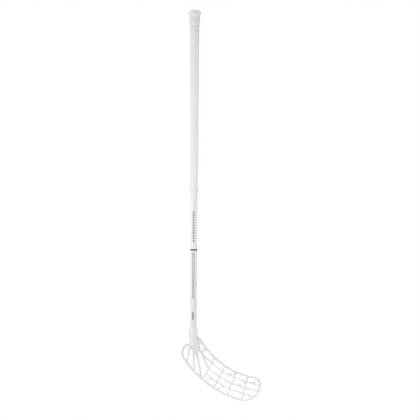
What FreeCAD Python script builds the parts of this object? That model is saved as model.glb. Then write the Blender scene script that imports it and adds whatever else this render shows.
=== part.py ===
import FreeCAD
import Part

import math
import os

# Floorball stick: a tapered composite shaft with a wrapped grip, a rubber end cap and a lattice blade.
# The shaft's axis is Z, with the butt at the top. The blade reaches to +X, and its hollow face looks to -Y.
# The origin lies on the axis, halfway down the grip, where a hand or a rack holds the stick.

Vector = FreeCAD.Vector

# Shaft, in millimetres as all lengths here: a hollow tube with one taper under the grip and another below it,
# straight where it sits in the socket
SHAFT_LENGTH = 960.0
BUTT_DIAMETER = 23.6
WAIST_DIAMETER = 20.3
TIP_DIAMETER = 18.8
SHAFT_WALL = 1.4

# Grip wrap, from the butt down to the waist
GRIP_LENGTH = 517.0
GRIP_BUTT_THICKNESS = 1.95
GRIP_WAIST_THICKNESS = 1.45

# Slip fit of the rubber pieces on the wrap
SLIP_GAP = 0.1

# Rubber collar that closes the lower end of the wrap
COLLAR_OVERLAP = 7.5
COLLAR_LIP = 3.5
COLLAR_WALL = 0.8
COLLAR_CHAMFER = 0.4

# End cap: a domed knob, a skirt over the wrap and a hollow plug inside the tube
CAP_TOP_THICKNESS = 3.5
CAP_FLAT_DIAMETER = 20.0
KNOB_DIAMETER = 36.8
KNOB_HEIGHT = 10.5
KNOB_DOME = 3.8
KNOB_EDGE_RADIUS = 3.0
KNOB_UNDERCUT = 5.5
SKIRT_LENGTH = 30.5
SKIRT_WALL = 1.5
PLUG_LENGTH = 24.0
PLUG_WALL = 2.5
PLUG_GAP = 0.2

# Dark ring on the bare shaft
RING_FROM_BUTT = 686.9
RING_WIDTH = 4.0
RING_THICKNESS = 0.25

# Socket of the blade, glued to the tip of the shaft: a film of glue with its fit on both sides
SOCKET_DEPTH = 48.0
SOCKET_FLOOR = 3.0
SOCKET_WALL = 1.6
SOCKET_LIP_CHAMFER = 0.6
SOCKET_END_CHAMFER = 1.5
GLUE_FILM = 0.2
GLUE_GAP = 0.08
GLUE_MARGIN = 2.0

# Pad on the heel side of the socket, with two recessed self-tapping screws
PAD_STAND = 1.8
PAD_WIDTH = 11.0
PAD_MARGIN = 2.0
PAD_EDGE_RADIUS = 1.5
SCREW_COUNT = 2
SCREW_PITCH = 18.0
SCREW_DIAMETER = 3.4
SCREW_HEAD_DIAMETER = 6.8
SCREW_HEAD_HEIGHT = 1.6
SCREW_REACH = 2.5
SCREW_CLEARANCE = 0.3

# Root that carries the lattice below the socket: a wedge that leans to the toe and narrows to the ribs
ROOT_WIDTH = 21.0
ROOT_DEPTH = 15.0
ROOT_SHOULDER_DROP = 7.5
ROOT_SHOULDER_WIDTH = 25.0
ROOT_SHOULDER_LEAN = 1.5
ROOT_DROP = 38.0
ROOT_LEAN = 13.4
ROOT_END_WIDTH = 4.6
ROOT_END_DEPTH = 8.0

# Outline of the blade: two arcs about one centre above the lattice, with a rounded toe and a rounded heel.
# Angles are in degrees about that centre, from straight below it towards the heel.
TOP_EDGE_RADIUS = 211.7
BLADE_HEIGHT = 76.5
CENTRE_RISE = 118.7
WEB_DROP = 16.0
WEB_STRAIGHT_ANGLE = 54.0
TOE_ANGLE = 3.7
TOE_TOP_RADIUS = 23.0
TOE_BOTTOM_RADIUS = 49.0
HEEL_RADIUS = 29.7
HEEL_RISE = 6.9
LEAST_FLAT = 0.4

# Section of the blade: the rim is deeper than the ribs, both are deepest near the socket, and the toe hooks.
# The rim grows wider from the toe to the heel.
TOE_RIM_WIDTH = 4.0
HEEL_RIM_WIDTH = 7.5
RIM_DEPTH = 6.0
WEB_DEPTH = 15.0
WEB_END_ANGLE = 44.0
RIB_WIDTH = 3.4
FAN_RIB_WIDTH = 5.2
RIB_DEPTH = 4.0
ROOT_RIB_DEPTH = 9.0
HOOK = 24.0
HOOK_FROM_ANGLE = 52.0
BOWL = 4.0
HEEL_BOWL = 0.8

# Lattice: cross ribs at an even pitch from the first one, next to the toe, and openings with bevelled corners
CROSS_RIB_COUNT = 4
FIRST_CROSS_RIB_ANGLE = 14.2
CELL_PITCH = 9.2
CROSS_RIB_SKEW = 3.5
CELL_CORNER = 1.6
RIM_LEDGE = 0.5

# Ribs along the blade: the share of the blade's height, 0 at the top edge, along the lattice and at the toe
LONG_RIBS = [(0.26, 0.33), (0.50, 0.55), (0.72, 0.74)]

# Diagonal ribs: the column, counted from the toe, and the row of the cell that each one splits, then two
# points on it. A point says how far along the column it lies, from its toe side, and its share of the height.
DIAGONAL_RIBS = [
    (0, 0, (0.67, 0.28), (0.12, 0.14)),
    (0, 3, (0.78, 0.72), (0.47, 0.89)),
    (1, 1, (0.58, 0.50), (0.00, 0.28)),
    (2, 0, (0.53, 0.28), (-0.10, 0.04)),
    (2, 3, (0.43, 0.73), (0.83, 0.96)),
    (3, 3, (0.46, 0.73), (0.79, 0.94)),
]

# Ribs that fan out from the root: angle and share of the height at the root, then the angle past the last
# cross rib and the share of the height at the far end
FAN_RIBS = [
    (56.2, 0.27, 0.0, 0.50),
    (52.2, 0.50, 0.0, 1.00),
    (56.2, 0.53, 5.5, 1.00),
    (60.5, 0.55, 12.5, 1.00),
]

# Fork of the first fan rib: its place, the share of the height where its branch meets the last cross rib, the
# angle where a bar from the fork meets the web, and the angle where the web's openings start
FORK_ANGLE = 53.2
FORK_SHARE = 0.31
FORK_END_SHARE = 0.26
WEB_BAR_ANGLE = 52.5
WEB_OPENING_ANGLE = 66.0

# Fineness of the construction
OUTLINE_END_SHARE = 0.75
SLAB_SECTIONS = 7
SLAB_MARGIN = 8.0
SLAB_END_ANGLE = 6.0
CORNER_SIDES = 5
LEAST_EDGE = 0.05
LEAST_TURN = 0.001
BLUNT_TURN = 0.6
ROUND_STEPS = 3
TOLERANCE = 0.001

# Heights on the shaft's axis
BUTT_Z = GRIP_LENGTH / 2
GRIP_END_Z = BUTT_Z - GRIP_LENGTH
TIP_Z = BUTT_Z - SHAFT_LENGTH
CAP_TOP_Z = BUTT_Z + CAP_TOP_THICKNESS
SKIRT_END_Z = BUTT_Z - SKIRT_LENGTH
MOUTH_Z = TIP_Z + SOCKET_DEPTH

ORIGIN = Vector(0, 0, 0)
UP = Vector(0, 0, 1)
AHEAD = Vector(1, 0, 0)


def between(start, end, share):
    """Value at a share of the way from start to end."""
    return start + (end - start) * share


def shaft_radius(height):
    """Outer radius of the tube: tapered under the grip and from the grip to the socket, then straight."""
    if height >= GRIP_END_Z:
        share = (BUTT_Z - height) / GRIP_LENGTH
        return between(BUTT_DIAMETER, WAIST_DIAMETER, share) / 2
    share = min((GRIP_END_Z - height) / (GRIP_END_Z - MOUTH_Z), 1)
    return between(WAIST_DIAMETER, TIP_DIAMETER, share) / 2


def bore_radius(height):
    """Inner radius of the tube."""
    return shaft_radius(height) - SHAFT_WALL


def grip_radius(height):
    """Outer radius of the wrap, which is thicker at the butt."""
    share = (BUTT_Z - height) / GRIP_LENGTH
    return shaft_radius(height) + between(GRIP_BUTT_THICKNESS, GRIP_WAIST_THICKNESS, share)


# Places that follow from the sizes: the socket's walls, the screws and the centre of the blade's arcs
BORE_RADIUS = shaft_radius(TIP_Z) + GLUE_FILM + 2 * GLUE_GAP
SOCKET_RADIUS = BORE_RADIUS + SOCKET_WALL
PAD_FACE_X = -(SOCKET_RADIUS + PAD_STAND)
SCREW_MIDDLE_Z = TIP_Z + SOCKET_DEPTH / 2
SCREW_HEIGHTS = [
    SCREW_MIDDLE_Z + SCREW_PITCH * (index - (SCREW_COUNT - 1) / 2) for index in range(SCREW_COUNT)
]

WEB_SINE = math.sin(math.radians(WEB_STRAIGHT_ANGLE))
WEB_COSINE = math.cos(math.radians(WEB_STRAIGHT_ANGLE))
WEB_Z = MOUTH_Z - WEB_DROP
CENTRE_Z = TIP_Z + CENTRE_RISE
CENTRE_X = SOCKET_RADIUS + (TOP_EDGE_RADIUS - (CENTRE_Z - WEB_Z) * WEB_COSINE) / WEB_SINE
WEB_ANGLE = math.degrees(math.atan2(CENTRE_X - SOCKET_RADIUS, CENTRE_Z - WEB_Z))
BOTTOM_EDGE_RADIUS = TOP_EDGE_RADIUS + BLADE_HEIGHT
LAST_CROSS_RIB = CROSS_RIB_COUNT - 1
OUTLINE_END_X = SOCKET_RADIUS * OUTLINE_END_SHARE
PRISM_HALF = HOOK + BOWL + WEB_DEPTH


def toe_bottom_fillet(inset, top_radius, bottom_radius):
    """Radius of the toe's lower corner, drawn in by an inset, within what the upper one leaves of the end."""
    top_centre_radius = top_radius + TOE_TOP_RADIUS - inset
    flat_end = math.sqrt(top_centre_radius ** 2 - TOE_TOP_RADIUS ** 2) + LEAST_FLAT
    most = (bottom_radius ** 2 - inset ** 2 - flat_end ** 2) / (2 * (bottom_radius + inset))
    return min(TOE_BOTTOM_RADIUS - inset, most)


# Roundings of the outline, each within its straight run: the toe's lower corner and the top of the heel
TOE_BOTTOM_FILLET = toe_bottom_fillet(0, TOP_EDGE_RADIUS, BOTTOM_EDGE_RADIUS)
HEEL_DROP = CENTRE_RISE - HEEL_RISE
HEEL_REACH = CENTRE_X - OUTLINE_END_X + LEAST_FLAT
HEEL_ROOM = BOTTOM_EDGE_RADIUS - HEEL_DROP - HEEL_REACH ** 2 / (BOTTOM_EDGE_RADIUS + HEEL_DROP)
HEEL_FILLET = min(HEEL_RADIUS, HEEL_ROOM / 2)


def rounded_corner(before, corner, after, radius):
    """Points along the arc that rounds a corner between two straight runs, within half of each run."""
    back = (before - corner).normalize()
    ahead = (after - corner).normalize()
    half_angle = back.getAngle(ahead) / 2
    room = min((before - corner).Length, (after - corner).Length) / 2
    reach = min(radius / math.tan(half_angle), room)
    rounding = reach * math.tan(half_angle)
    halfway = (back + ahead).normalize() * (rounding / math.sin(half_angle) - rounding)
    arc = Part.Arc(corner + back * reach, corner + halfway, corner + ahead * reach)
    return arc.toShape().discretize(ROUND_STEPS + 1)


def run_edge(start, end):
    """Straight run of a turned profile. A long slanted one is a spline, with fewer facets than a cone."""
    run = Part.LineSegment(start, end)
    slanted = abs(start.x - end.x) > TOLERANCE and abs(start.z - end.z) > max(start.x, end.x)
    return (run.toBSpline() if slanted else run).toShape()


def turned(profile):
    """Solid of revolution about Z, from a closed profile of (radius, height) points.

    A third value rounds that corner.
    """
    corners = [Vector(radius, 0, height) for radius, height, *rounding in profile]
    points = []
    for index, (radius, height, *rounding) in enumerate(profile):
        corner = corners[index]
        following = corners[(index + 1) % len(corners)]
        points += rounded_corner(corners[index - 1], corner, following, *rounding) if rounding else [corner]
    edges = [run_edge(points[index - 1], point) for index, point in enumerate(points)]
    return Part.Face(Part.Wire(edges)).revolve(ORIGIN, UP, 360)


def screw_holes():
    """Bars along X for the screws' clearance holes, from the pad to the shaft's axis."""
    radius = (SCREW_DIAMETER + SCREW_CLEARANCE) / 2
    starts = [Vector(PAD_FACE_X, 0, height) for height in SCREW_HEIGHTS]
    return [Part.makeCylinder(radius, -PAD_FACE_X, start, AHEAD) for start in starts]


def shaft_tube():
    """Hollow tapered tube with the screws' holes in the heel side of its tip."""
    heights = [BUTT_Z, GRIP_END_Z, MOUTH_Z, TIP_Z]
    outside = [(shaft_radius(height), height) for height in heights]
    inside = [(bore_radius(height), height) for height in reversed(heights)]
    return turned(outside + inside).cut(screw_holes())


def grip_wrap():
    """Smooth wrap that is thicker towards the butt."""
    return turned([
        (shaft_radius(BUTT_Z), BUTT_Z),
        (grip_radius(BUTT_Z), BUTT_Z),
        (grip_radius(GRIP_END_Z), GRIP_END_Z),
        (shaft_radius(GRIP_END_Z), GRIP_END_Z),
    ])


def grip_collar():
    """Rubber ring, stepped inside: it grips the end of the wrap and closes down onto the shaft."""
    top = GRIP_END_Z + COLLAR_OVERLAP
    bottom = GRIP_END_Z - COLLAR_LIP
    bore = grip_radius(top) + SLIP_GAP
    lip_bore = shaft_radius(GRIP_END_Z) + SLIP_GAP
    outer = bore + COLLAR_WALL
    return turned([
        (bore, top),
        (outer - COLLAR_CHAMFER, top),
        (outer, top - COLLAR_CHAMFER),
        (outer, bottom + COLLAR_CHAMFER),
        (outer - COLLAR_CHAMFER, bottom),
        (lip_bore, bottom),
        (lip_bore, GRIP_END_Z),
        (bore, GRIP_END_Z),
    ])


def end_cap():
    """Rubber cap: a domed knob that flares out of a skirt over the wrap, and a hollow plug in the tube."""
    knob = KNOB_DIAMETER / 2
    knob_base = CAP_TOP_Z - KNOB_HEIGHT
    skirt_bore = grip_radius(BUTT_Z) + SLIP_GAP
    skirt = skirt_bore + SKIRT_WALL
    plug_end = BUTT_Z - PLUG_LENGTH
    plug = bore_radius(plug_end) - PLUG_GAP
    return turned([
        (0, CAP_TOP_Z),
        (CAP_FLAT_DIAMETER / 2, CAP_TOP_Z),
        (knob, CAP_TOP_Z - KNOB_DOME, KNOB_EDGE_RADIUS),
        (knob, knob_base),
        (skirt, knob_base - KNOB_UNDERCUT),
        (skirt, SKIRT_END_Z),
        (skirt_bore, SKIRT_END_Z),
        (skirt_bore, BUTT_Z),
        (plug, BUTT_Z),
        (plug, plug_end),
        (plug - PLUG_WALL, plug_end),
        (plug - PLUG_WALL, BUTT_Z),
        (0, BUTT_Z),
    ])


def shaft_ring():
    """Thin dark ring around the bare shaft."""
    top = BUTT_Z - RING_FROM_BUTT + RING_WIDTH / 2
    bottom = top - RING_WIDTH
    inner = shaft_radius(top)
    outer = inner + RING_THICKNESS
    return turned([(inner, top), (outer, top), (outer, bottom), (inner, bottom)])


def socket_glue():
    """Film of glue between the tip of the shaft and the socket."""
    top = MOUTH_Z - GLUE_MARGIN
    inner = shaft_radius(TIP_Z) + GLUE_GAP
    outer = inner + GLUE_FILM
    film = turned([(inner, top), (outer, top), (outer, TIP_Z), (inner, TIP_Z)])
    return film.cut(screw_holes())


def blade_screws():
    """Self-tapping screws, their heads flush with the pad and their ends inside the tube."""
    head = SCREW_HEAD_DIAMETER / 2
    shank = SCREW_DIAMETER / 2
    end = SCREW_REACH - bore_radius(TIP_Z) - PAD_FACE_X
    screw = turned([
        (0, 0),
        (head, 0),
        (head, SCREW_HEAD_HEIGHT),
        (shank, SCREW_HEAD_HEIGHT),
        (shank, end),
        (0, end),
    ])
    screws = []
    for height in SCREW_HEIGHTS:
        place = FreeCAD.Placement(Vector(PAD_FACE_X, 0, height), FreeCAD.Rotation(UP, AHEAD))
        screws.append(screw.transformed(place.toMatrix()))
    return Part.makeCompound(screws)


def blade_point(angle, radius, depth=0.0):
    """Point of the blade by its angle from straight below the centre, towards the heel, and its radius."""
    turn = math.radians(angle)
    return Vector(CENTRE_X - radius * math.sin(turn), depth, CENTRE_Z - radius * math.cos(turn))


def share_point(angle, share):
    """Point of the blade by its angle and its share of the height, 0 at the top edge and 1 at the bottom."""
    return blade_point(angle, TOP_EDGE_RADIUS + share * BLADE_HEIGHT)


def cross_angle(index, share):
    """Angle of a cross rib at a share of the height: the ribs lean more and more towards the heel."""
    lean = CROSS_RIB_SKEW * (index / LAST_CROSS_RIB) ** 2
    return FIRST_CROSS_RIB_ANGLE + CELL_PITCH * index + lean * (0.5 - share)


def cross_point(index, share):
    """Point of a cross rib, or of the toe's straight end before the first one."""
    return share_point(cross_angle(index, share) if index >= 0 else TOE_ANGLE, share)


def rim_width(angle):
    """Width of the rim, which grows more and more from the toe to the web."""
    share = (angle - TOE_ANGLE) / (WEB_ANGLE - TOE_ANGLE)
    return between(TOE_RIM_WIDTH, HEEL_RIM_WIDTH, share ** 2)


def rim_point(angle, radius, share):
    """Point at a share of the rim's width outside a radius, or inside it where the share is negative."""
    return blade_point(angle, radius + share * rim_width(angle))


def rim_arc(radius, share, start_angle, end_angle):
    """Arc along the rim, at a share of its width from one of the blade's edges."""
    angles = [start_angle, (start_angle + end_angle) / 2, end_angle]
    return Part.Arc(*[rim_point(angle, radius, share) for angle in angles]).toShape()


def line_edge(start, end):
    """Straight edge between two points."""
    return Part.LineSegment(start, end).toShape()


def prism(wire):
    """Prism from a closed wire in the blade's plane, through its whole depth."""
    face = Part.Face(wire)
    face.translate(Vector(0, -PRISM_HALF, 0))
    return face.extrude(Vector(0, 2 * PRISM_HALF, 0))


def outline_prism(share):
    """Prism of the blade's outline, drawn in by a share of the rim's width, with its toe and heel rounded."""
    toe_inset = share * TOE_RIM_WIDTH
    heel_inset = share * HEEL_RIM_WIDTH
    web_radius = TOP_EDGE_RADIUS + share * rim_width(WEB_STRAIGHT_ANGLE)
    web_z = CENTRE_Z - (web_radius - (CENTRE_X - OUTLINE_END_X) * WEB_SINE) / WEB_COSINE
    heel_z = TIP_Z + HEEL_RISE - heel_inset
    heel_angle = math.degrees(math.acos((CENTRE_Z - heel_z) / (BOTTOM_EDGE_RADIUS - heel_inset)))
    toe_top_angle = TOE_ANGLE + math.degrees(math.asin(toe_inset / (TOP_EDGE_RADIUS + toe_inset)))
    toe_bottom_angle = TOE_ANGLE + math.degrees(math.asin(toe_inset / (BOTTOM_EDGE_RADIUS - toe_inset)))
    web_end = rim_point(WEB_STRAIGHT_ANGLE, TOP_EDGE_RADIUS, share)
    toe_top = rim_point(toe_top_angle, TOP_EDGE_RADIUS, share)
    toe_bottom = rim_point(toe_bottom_angle, BOTTOM_EDGE_RADIUS, -share)
    heel = rim_point(heel_angle, BOTTOM_EDGE_RADIUS, -share)
    heel_end = Vector(OUTLINE_END_X, 0, heel_z)
    web_start = Vector(OUTLINE_END_X, 0, web_z)
    solid = prism(Part.Wire([
        line_edge(web_start, web_end),
        rim_arc(TOP_EDGE_RADIUS, share, WEB_STRAIGHT_ANGLE, toe_top_angle),
        line_edge(toe_top, toe_bottom),
        rim_arc(BOTTOM_EDGE_RADIUS, -share, toe_bottom_angle, heel_angle),
        line_edge(heel, heel_end),
        line_edge(heel_end, web_start),
    ]))
    centre = Vector(CENTRE_X, 0, CENTRE_Z)
    bottom_fillet = toe_bottom_fillet(toe_inset, (toe_top - centre).Length, (toe_bottom - centre).Length)
    for corner, radius in [
        (toe_top, TOE_TOP_RADIUS - toe_inset), (toe_bottom, bottom_fillet), (heel, HEEL_FILLET - heel_inset),
    ]:
        edges = [edge for edge in solid.Edges if (edge.CenterOfMass - corner).Length < TOLERANCE]
        solid = solid.makeFillet(radius, edges)
    return solid


def blade_slab(depth, web_depth):
    """Curved slab that the blade's outline is cut from: a loft through sections that turn about the centre.

    It hooks towards the toe, is bowed between its edges and is deeper along the top edge near the socket.
    """
    top = TOP_EDGE_RADIUS - SLAB_MARGIN
    bottom = BOTTOM_EDGE_RADIUS + SLAB_MARGIN
    middle = (top + bottom) / 2
    first_angle = WEB_ANGLE + SLAB_END_ANGLE
    last_angle = TOE_ANGLE - SLAB_END_ANGLE
    sections = []
    for index in range(SLAB_SECTIONS):
        angle = between(first_angle, last_angle, index / (SLAB_SECTIONS - 1))
        hook_share = max((HOOK_FROM_ANGLE - angle) / (HOOK_FROM_ANGLE - TOE_ANGLE), 0)
        web_share = min(max((angle - WEB_END_ANGLE) / (WEB_ANGLE - WEB_END_ANGLE), 0), 1)
        edge_depth = -HOOK * hook_share ** 2
        bow = between(HEEL_BOWL, BOWL, min(hook_share, 1))
        top_half = between(depth, web_depth, web_share) / 2
        bottom_half = depth / 2
        middle_half = (top_half + bottom_half) / 2
        front = [
            blade_point(angle, top, edge_depth - top_half),
            blade_point(angle, middle, edge_depth + bow - middle_half),
            blade_point(angle, bottom, edge_depth - bottom_half),
        ]
        back = [
            blade_point(angle, bottom, edge_depth + bottom_half),
            blade_point(angle, middle, edge_depth + bow + middle_half),
            blade_point(angle, top, edge_depth + top_half),
        ]
        sections.append(Part.Wire([
            Part.Arc(*front).toShape(),
            line_edge(front[-1], back[0]),
            Part.Arc(*back).toShape(),
            line_edge(back[-1], front[0]),
        ]))
    return Part.makeLoft(sections, True, False)


def side(start, end, gap):
    """Straight side of a cell, which lies to the left of the run from start to end, a gap away."""
    run = (end - start).normalize()
    return start, Vector(-run.z, 0, run.x), gap


def arc_sides(centre, radius, first, last, gap):
    """Sides of a cell inside a rounded corner, from the first direction up to the last, which is left out.

    Directions are in degrees from +X towards +Z.
    """
    sides = []
    for index in range(CORNER_SIDES):
        turn = math.radians(between(first, last, index / CORNER_SIDES))
        outward = Vector(math.cos(turn), 0, math.sin(turn))
        sides.append((centre + outward * radius, -outward, gap))
    return sides


def clipped(corners, point, inward, gap):
    """Part of a convex polygon that lies at least a gap inside a line."""
    kept = []
    for index, corner in enumerate(corners):
        previous = corners[index - 1]
        inside = (corner - point).dot(inward) - gap
        inside_before = (previous - point).dot(inward) - gap
        if inside * inside_before < 0:
            kept.append(between(previous, corner, inside_before / (inside_before - inside)))
        if inside >= 0:
            kept.append(corner)
    return kept


def cell(sides):
    """Opening with bevelled corners inside the given sides, or nothing where they leave no room for one."""
    reach = BOTTOM_EDGE_RADIUS + BLADE_HEIGHT
    corners = [
        Vector(CENTRE_X + across * reach, 0, CENTRE_Z + up * reach)
        for across, up in [(-1, -1), (1, -1), (1, 1), (-1, 1)]
    ]
    for point, inward, gap in sides:
        corners = clipped(corners, point, inward, gap + CELL_CORNER)
    corners = [
        corner for index, corner in enumerate(corners)
        if (corner - corners[index - 1]).Length > LEAST_EDGE
    ]
    corners = [
        corner for index, corner in enumerate(corners)
        if (corner - corners[index - 1]).getAngle(corners[(index + 1) % len(corners)] - corner) > LEAST_TURN
    ]
    if len(corners) < 3:
        return []
    outward = []
    for index, corner in enumerate(corners):
        run = (corner - corners[index - 1]).normalize()
        outward.append(Vector(run.z, 0, -run.x) * CELL_CORNER)
    points = []
    for index, corner in enumerate(corners):
        before = outward[index]
        after = outward[(index + 1) % len(corners)]
        turn = before.getAngle(after)
        if turn < BLUNT_TURN:
            points.append(corner + (before + after) / (1 + math.cos(turn)))
        else:
            points += [corner + before, corner + after]
    return [prism(Part.makePolygon(points + points[:1]))]


def rim_side(start, end):
    """Side of a cell along the rim between two points of its outer edge, clear of the rim's curve.

    Along the top edge the curve bulges into the cell, so there the side moves in by that bulge.
    """
    centre = Vector(CENTRE_X, 0, CENTRE_Z)
    radius = (start - centre).Length
    bulge = radius - ((start + end) / 2 - centre).Length if start.x > end.x else 0
    heel_end = min(start, end, key=lambda point: point.x)
    angle = math.degrees(math.atan2(CENTRE_X - heel_end.x, CENTRE_Z - heel_end.z))
    return side(start, end, rim_width(angle) + RIM_LEDGE + bulge)


def toe_sides():
    """Sides along the straight end of the toe and inside its two rounded corners."""
    gap = rim_width(FIRST_CROSS_RIB_ANGLE) + RIM_LEDGE
    top_centre_radius = TOP_EDGE_RADIUS + TOE_TOP_RADIUS
    bottom_centre_radius = BOTTOM_EDGE_RADIUS - TOE_BOTTOM_FILLET
    top_angle = TOE_ANGLE + math.degrees(math.asin(TOE_TOP_RADIUS / top_centre_radius))
    bottom_angle = TOE_ANGLE + math.degrees(math.asin(TOE_BOTTOM_FILLET / bottom_centre_radius))
    top_centre = blade_point(top_angle, top_centre_radius)
    bottom_centre = blade_point(bottom_angle, bottom_centre_radius)
    bottom_sides = arc_sides(bottom_centre, TOE_BOTTOM_FILLET, -90 - bottom_angle, -TOE_ANGLE, gap)
    return bottom_sides + arc_sides(top_centre, TOE_TOP_RADIUS, -TOE_ANGLE, 90 - top_angle, gap)


def split_cells(sides, column, row):
    """Openings of one cell of a column: two on either side of its diagonal rib, or one where it has none."""
    half_rib = RIB_WIDTH / 2
    for rib_column, rib_row, *places in DIAGONAL_RIBS:
        if (rib_column, rib_row) == (column, row):
            start, end = [
                between(cross_point(column - 1, share), cross_point(column, share), along)
                for along, share in places
            ]
            return cell(sides + [side(start, end, half_rib)]) + cell(sides + [side(end, start, half_rib)])
    return cell(sides)


def column_cells():
    """Openings of the lattice, column by column from the toe to the last cross rib."""
    half_rib = RIB_WIDTH / 2
    cells = []
    for column in range(CROSS_RIB_COUNT):
        toe_end = [side(cross_point(column - 1, 1), cross_point(column - 1, 0), half_rib)]
        heel_end = side(cross_point(column, 0), cross_point(column, 1), half_rib)
        ends = (toe_end if column else toe_sides()) + [heel_end]
        above = rim_side(cross_point(column - 1, 0), cross_point(column, 0))
        for row, (share, toe_share) in enumerate(LONG_RIBS):
            toe_point = cross_point(column - 1, share if column else toe_share)
            heel_point = cross_point(column, share)
            cells += split_cells([above, side(heel_point, toe_point, half_rib)] + ends, column, row)
            above = side(toe_point, heel_point, half_rib)
        below = rim_side(cross_point(column, 1), cross_point(column - 1, 1))
        cells += split_cells([above, below] + ends, column, len(LONG_RIBS))
    return cells


def fan_cells():
    """Openings between the ribs that fan out from the root, and the loop of the heel."""
    half_fan = FAN_RIB_WIDTH / 2
    roots = [share_point(angle, share) for angle, share, past, end_share in FAN_RIBS]
    ends = [
        share_point(cross_angle(LAST_CROSS_RIB, end_share) + past, end_share)
        for angle, share, past, end_share in FAN_RIBS
    ]
    last_rib_side = side(cross_point(LAST_CROSS_RIB, 1), cross_point(LAST_CROSS_RIB, 0), RIB_WIDTH / 2)
    fork = share_point(FORK_ANGLE, FORK_SHARE)
    branch_end = cross_point(LAST_CROSS_RIB, FORK_END_SHARE)
    bar_end = share_point(WEB_BAR_ANGLE, 0)
    web_opening = share_point(WEB_OPENING_ANGLE, 0)
    cells = cell([
        side(roots[0], fork, half_fan),
        side(fork, bar_end, half_fan),
        rim_side(bar_end, web_opening),
        side(web_opening, roots[0], half_fan),
    ])
    cells += cell([
        side(fork, branch_end, half_fan),
        last_rib_side,
        rim_side(cross_point(LAST_CROSS_RIB, 0), bar_end),
        side(bar_end, fork, half_fan),
    ])
    cells += cell([
        side(roots[0], ends[0], half_fan),
        last_rib_side,
        side(branch_end, fork, half_fan),
    ])
    for upper in range(len(FAN_RIBS) - 1):
        lower = upper + 1
        past_last_rib = FAN_RIBS[lower][2] > 0
        cells += cell([
            side(roots[lower], ends[lower], half_fan),
            rim_side(ends[lower], ends[upper]) if past_last_rib else last_rib_side,
            side(ends[upper], roots[upper], half_fan),
            side(roots[upper], roots[lower], 0),
        ])
    heel_centre_radius = BOTTOM_EDGE_RADIUS - HEEL_FILLET
    heel_centre_z = TIP_Z + HEEL_RISE - HEEL_FILLET
    heel_angle = math.degrees(math.acos((CENTRE_Z - heel_centre_z) / heel_centre_radius))
    heel_centre = blade_point(heel_angle, heel_centre_radius)
    gap = HEEL_RIM_WIDTH + RIM_LEDGE
    cells += cell(
        [side(ends[-1], roots[-1], half_fan), rim_side(share_point(heel_angle, 1), ends[-1])]
        + arc_sides(heel_centre, HEEL_FILLET, 90, 270 - heel_angle, gap)
    )
    return cells


def level_rectangle(middle_x, height, width, depth):
    """Closed rectangle at one height, centred in depth."""
    corners = [
        Vector(middle_x + across * width / 2, along * depth / 2, height)
        for across, along in [(-1, -1), (1, -1), (1, 1), (-1, 1)]
    ]
    return Part.makePolygon(corners + corners[:1])


def socket_body():
    """Outside of the socket: a cup with a flat pad for the screws and a root that leads to the ribs."""
    floor = TIP_Z - SOCKET_FLOOR
    cup = turned([
        (0, MOUTH_Z),
        (SOCKET_RADIUS - SOCKET_LIP_CHAMFER, MOUTH_Z),
        (SOCKET_RADIUS, MOUTH_Z - SOCKET_LIP_CHAMFER),
        (SOCKET_RADIUS, floor + SOCKET_END_CHAMFER),
        (SOCKET_RADIUS - SOCKET_END_CHAMFER, floor),
        (0, floor),
    ])
    pad_height = MOUTH_Z - PAD_MARGIN - TIP_Z
    pad = Part.makeBox(-PAD_FACE_X, PAD_WIDTH, pad_height, Vector(PAD_FACE_X, -PAD_WIDTH / 2, TIP_Z))
    corners = [
        edge for edge in pad.Edges
        if edge.BoundBox.XMax < PAD_FACE_X + TOLERANCE and edge.BoundBox.ZMax > TIP_Z + TOLERANCE
    ]
    root = Part.makeLoft([
        level_rectangle(0, TIP_Z, ROOT_WIDTH, ROOT_DEPTH),
        level_rectangle(ROOT_SHOULDER_LEAN, TIP_Z - ROOT_SHOULDER_DROP, ROOT_SHOULDER_WIDTH, ROOT_DEPTH),
        level_rectangle(ROOT_LEAN, TIP_Z - ROOT_DROP, ROOT_END_WIDTH, ROOT_END_DEPTH),
    ], True, True)
    return cup.fuse([pad.makeFillet(PAD_EDGE_RADIUS, corners), root])


def blade():
    """One moulding: a rim and a lattice cut from curved slabs, joined to the socket."""
    rim = outline_prism(0).cut(outline_prism(1)).common(blade_slab(RIM_DEPTH, WEB_DEPTH))
    plate = outline_prism(0.5).cut(column_cells() + fan_cells())
    lattice = plate.common(blade_slab(RIB_DEPTH, ROOT_RIB_DEPTH))
    cuts = screw_holes() + [Part.makeCylinder(BORE_RADIUS, SHAFT_LENGTH, Vector(0, 0, TIP_Z), UP)]
    head_radius = (SCREW_HEAD_DIAMETER + SCREW_CLEARANCE) / 2
    for height in SCREW_HEIGHTS:
        cuts.append(Part.makeCylinder(head_radius, SCREW_HEAD_HEIGHT, Vector(PAD_FACE_X, 0, height), AHEAD))
    return socket_body().fuse([rim, lattice]).cut(cuts).removeSplitter()


os.makedirs("parts", exist_ok=True)
for make in [shaft_tube, grip_wrap, end_cap, grip_collar, shaft_ring, blade, blade_screws, socket_glue]:
    shape = make()
    shape.exportStep(f"parts/{make.__name__}.step")
    volume = shape.Volume / 1000
    print(f"{make.__name__}: {len(shape.Solids)} solids, {volume:.2f} cm3, valid {shape.isValid()}")
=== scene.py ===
# %% [markdown]
# # A floorball stick, dressed in Blender
#
# The stick comes from CAD at its real size: a hollow shaft, a wrapped grip with a rubber cap and a
# collar, a dark ring, and a moulded blade that is glued and screwed to the tip. Here it gets its looks.
# We load that model as a fixed frame first, because every piece and every finish below takes its place
# from it.

import math

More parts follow.
